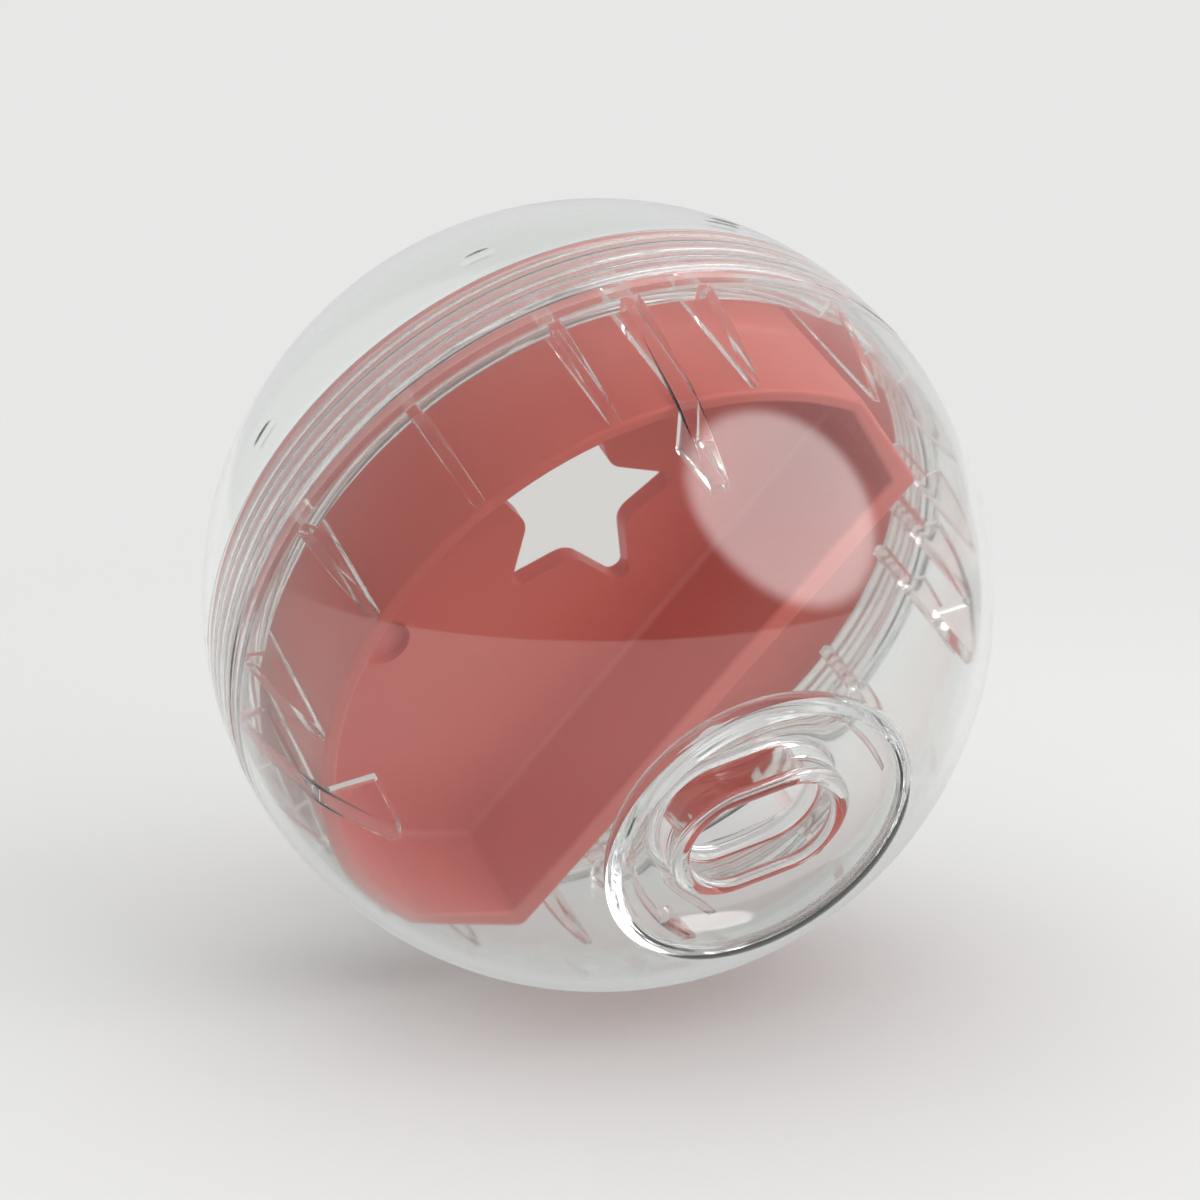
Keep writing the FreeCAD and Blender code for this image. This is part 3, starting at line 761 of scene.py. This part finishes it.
def pale_floor(studio):
    """Matt pale paper with a barely uneven tone. Away from the ball it goes over into the backdrop's colour.
    Polished things mirror it at a set brightness, lower under the ball, and clear plastic shows it paler."""
    material, tree, spot = new_material("pale_floor")
    ray = node(tree, "ShaderNodeLightPath").outputs
    reach = node(tree, "ShaderNodeVectorMath", spot, operation="LENGTH").outputs["Value"]
    patches = node(tree, "ShaderNodeTexNoise", Vector=spot, Scale=6.0, Detail=4.0)
    darker = [(1.0 - FLOOR_STRAY) * value for value in studio.floor]
    lighter = [min((1.0 + FLOOR_STRAY) * value, 1.0) for value in studio.floor]
    paper = node(tree, "ShaderNodeBsdfPrincipled", Base_Color=two_tone(tree, patches, darker, lighter),
                 Roughness=0.9, Specular_IOR_Level=0.2)
    far = node(tree, "ShaderNodeEmission", Color=studio.backdrop, Strength=1.0)
    distance = eased(tree, reach, studio.floor_near, studio.floor_far, 0.0, 1.0)
    looked_at = node(tree, "ShaderNodeMath", 1.0, ray["Is Diffuse Ray"], operation="SUBTRACT")
    open_floor = node(tree, "ShaderNodeMath", distance, looked_at, operation="MULTIPLY")
    through = node(tree, "ShaderNodeMath", ray["Is Transmission Ray"], studio.floor_through,
                   operation="MULTIPLY")
    paled = node(tree, "ShaderNodeMath", open_floor, through, operation="MAXIMUM")
    seen = node(tree, "ShaderNodeMixShader", paled, paper, far)
    level = eased(tree, reach, studio.shade_near, studio.shade_far, studio.floor_shaded,
                  studio.floor_mirrored)
    mirrored = node(tree, "ShaderNodeEmission", Color=MIRRORED_PAPER, Strength=level)
    surface = node(tree, "ShaderNodeMixShader", ray["Is Glossy Ray"], seen, mirrored)
    node(tree, "ShaderNodeOutputMaterial", Surface=surface)
    return material


def glowing_card(studio):
    """A white glow that fades to nothing at the edge of a disc of radius 1."""
    material, tree, spot = new_material("window_card")
    reach = node(tree, "ShaderNodeVectorMath", spot, operation="LENGTH").outputs["Value"]
    fade = eased(tree, reach, 1.0 - studio.card_soft, 1.0, 1.0, 0.0)
    nothing = node(tree, "ShaderNodeBsdfTransparent")
    glow = node(tree, "ShaderNodeEmission", Color=WHITE, Strength=studio.card)
    surface = node(tree, "ShaderNodeMixShader", fade, nothing, glow)
    node(tree, "ShaderNodeOutputMaterial", Surface=surface)
    return material


def window_card(studio):
    """A tilted oval card with a soft edge, seen in polished and clear things only: the bright patch on the
    ball."""
    card = add_disc("window_card", 1.0, CARD_STEPS)
    card.data.materials.append(glowing_card(studio))
    way = away(studio.card_turn, studio.card_lift)
    aim(card, BALL_MIDDLE + studio.card_reach * way, BALL_MIDDLE)
    card.rotation_euler.rotate_axis("Z", -studio.card_tilt)
    card.scale = (studio.card_width / 2.0, studio.card_height / 2.0, 1.0)
    for kind in ("camera", "diffuse", "volume_scatter", "shadow"):
        setattr(card, f"visible_{kind}", False)


def slope(tree, way, pole, span, start, end):
    """A sky whose strength runs smoothly from start to end as the direction turns towards the pole."""
    turned = node(tree, "ShaderNodeVectorMath", way, pole.normalized(), operation="DOT_PRODUCT")
    level = eased(tree, turned.outputs["Value"], *span, start, end)
    return node(tree, "ShaderNodeBackground", Color=WHITE, Strength=level)


def studio_room(studio):
    """A world that is pale where it is looked at, lights from above, and shows in polished things as a room
    that is dim in front and pale behind."""
    world = bpy.data.worlds.new("studio_room")
    world.use_nodes = True
    tree = world.node_tree
    tree.nodes.clear()
    ray = node(tree, "ShaderNodeLightPath").outputs
    way = node(tree, "ShaderNodeTexCoord").outputs["Generated"]
    front = away(studio.camera_turn, 0.0)
    light = slope(tree, way, Vector(studio.light_pole), LIGHT_SPAN, studio.ambient_low, studio.ambient_high)
    shown = slope(tree, way, front, ROOM_SPAN, studio.shown_back, studio.shown_front)
    seen = node(tree, "ShaderNodeBackground", Color=studio.backdrop, Strength=1.0)
    mirrored = node(tree, "ShaderNodeMixShader", ray["Is Glossy Ray"], light, shown)
    surface = node(tree, "ShaderNodeMixShader", ray["Is Camera Ray"], mirrored, seen)
    node(tree, "ShaderNodeOutputWorld", Surface=surface)
    return world


def add_camera(studio):
    lens = bpy.data.cameras.new("camera")
    lens.lens = studio.lens
    lens.sensor_width = 36.0
    lens.shift_x = SHIFT_RIGHT / PICTURE
    lens.shift_y = SHIFT_UP / PICTURE
    lens.clip_start, lens.clip_end = 0.01, 100.0
    camera = add_object("camera", lens)
    way = away(studio.camera_turn, studio.camera_lift)
    aim(camera, BALL_MIDDLE + studio.camera_reach * way, BALL_MIDDLE)
    return camera


class TREATBALL_OT_studio(bpy.types.Operator):
    """Sets up the floor, the lamp, the card, the room and the camera"""
    bl_idname = "treatball.studio"
    bl_label = "Studio"

    def execute(self, context):
        scene = context.scene
        studio = scene.treatball_studio
        scene.view_settings.view_transform = "Standard"
        # light goes through many clear walls, and bounces inside the ribs and the spout
        scene.cycles.max_bounces = 24
        scene.cycles.transmission_bounces = 24
        scene.cycles.glossy_bounces = 16

        floor = add_disc("studio_floor", studio.floor_reach, FLOOR_STEPS)
        floor.data.materials.append(pale_floor(studio))

        key_softbox(studio)
        window_card(studio)
        scene.world = studio_room(studio)
        scene.camera = add_camera(studio)
        return {"FINISHED"}


class TREATBALL_PT_panel(bpy.types.Panel):
    """Lists the ball's pieces and its studio"""
    bl_idname = "TREATBALL_PT_panel"
    bl_label = "Treat ball"
    bl_space_type = "VIEW_3D"
    bl_region_type = "UI"
    bl_category = "Treat ball"

    def draw(self, context):
        for operator in OPERATORS:
            self.layout.operator(operator.bl_idname)
        for name, group in GROUPS.items():
            box = self.layout.box()
            box.label(text=group.__doc__)
            for prop in group.__annotations__:
                box.prop(getattr(context.scene, name), prop)


OPERATORS = (
    TREATBALL_OT_bowl,
    TREATBALL_OT_ribs,
    TREATBALL_OT_cap,
    TREATBALL_OT_divider,
    TREATBALL_OT_studio,
)
GROUPS = {
    "treatball_shell": ShellSizes,
    "treatball_bowl": BowlSizes,
    "treatball_ribs": RibSizes,
    "treatball_cap": CapSizes,
    "treatball_finishes": Finishes,
    "treatball_studio": StudioSettings,
}
CLASSES = (*GROUPS.values(), *OPERATORS, TREATBALL_PT_panel)


def register():
    for kind in CLASSES:
        bpy.utils.register_class(kind)
    for name, group in GROUPS.items():
        setattr(bpy.types.Scene, name, bpy.props.PointerProperty(type=group))


def unregister():
    for name in GROUPS:
        delattr(bpy.types.Scene, name)
    for kind in reversed(CLASSES):
        bpy.utils.unregister_class(kind)


def main():
    register()
    bpy.ops.treatball.bowl()
    bpy.ops.treatball.ribs()
    bpy.ops.treatball.cap()
    bpy.ops.treatball.divider()
    bpy.ops.treatball.studio()
    bpy.context.view_layer.update()


if __name__ == "__main__":
    main()
